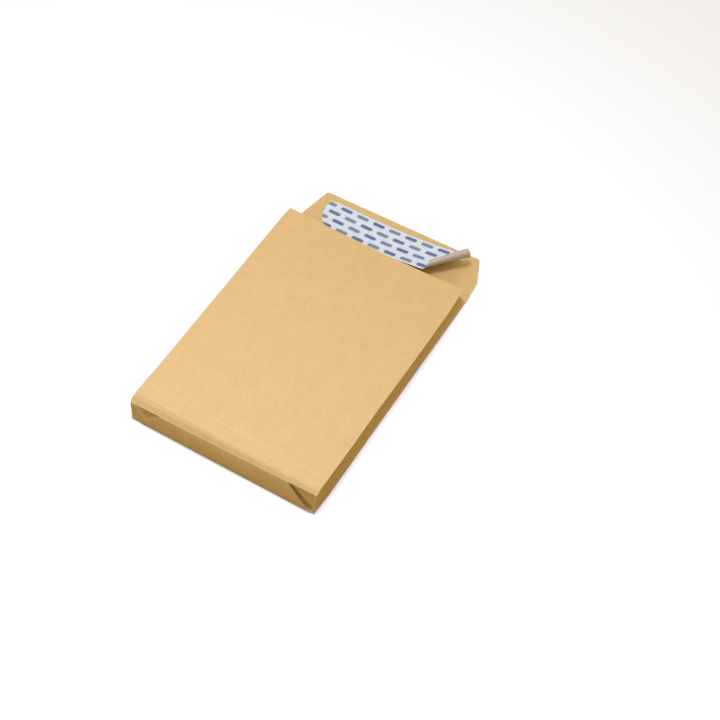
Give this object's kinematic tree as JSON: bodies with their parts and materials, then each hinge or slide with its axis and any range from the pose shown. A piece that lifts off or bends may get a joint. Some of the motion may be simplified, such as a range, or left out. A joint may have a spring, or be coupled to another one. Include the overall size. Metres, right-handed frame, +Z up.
{
  "type": "paper envelope",
  "caption": "Gusseted kraft pocket envelope with a block bottom, an open mouth and an unfolded seal flap whose peel strip is lifted and rolled up at one corner.",
  "frame": {"origin": "middle of the address panel's outer face, at floor level", "axes": "+X across the envelope, to the right seen from above with the seal flap away from the viewer; +Y from the block bottom towards the mouth and the seal flap; +Z up, from the address panel towards the back panel"},
  "size_m": [0.229, 0.3852, 0.03],
  "materials": {
    "kraft_paper": "matte manilla kraft with faint fibres and a slight machine sheen",
    "hot_melt_adhesive": "thin clear tacky film over kraft",
    "silicone_paper": "satin white release paper with small blue-grey printed bars"
  },
  "bodies": {
    "root": {"envelope_body": "kraft_paper", "adhesive_band": "hot_melt_adhesive", "release_liner": "silicone_paper"}
  },
  "joints": []
}
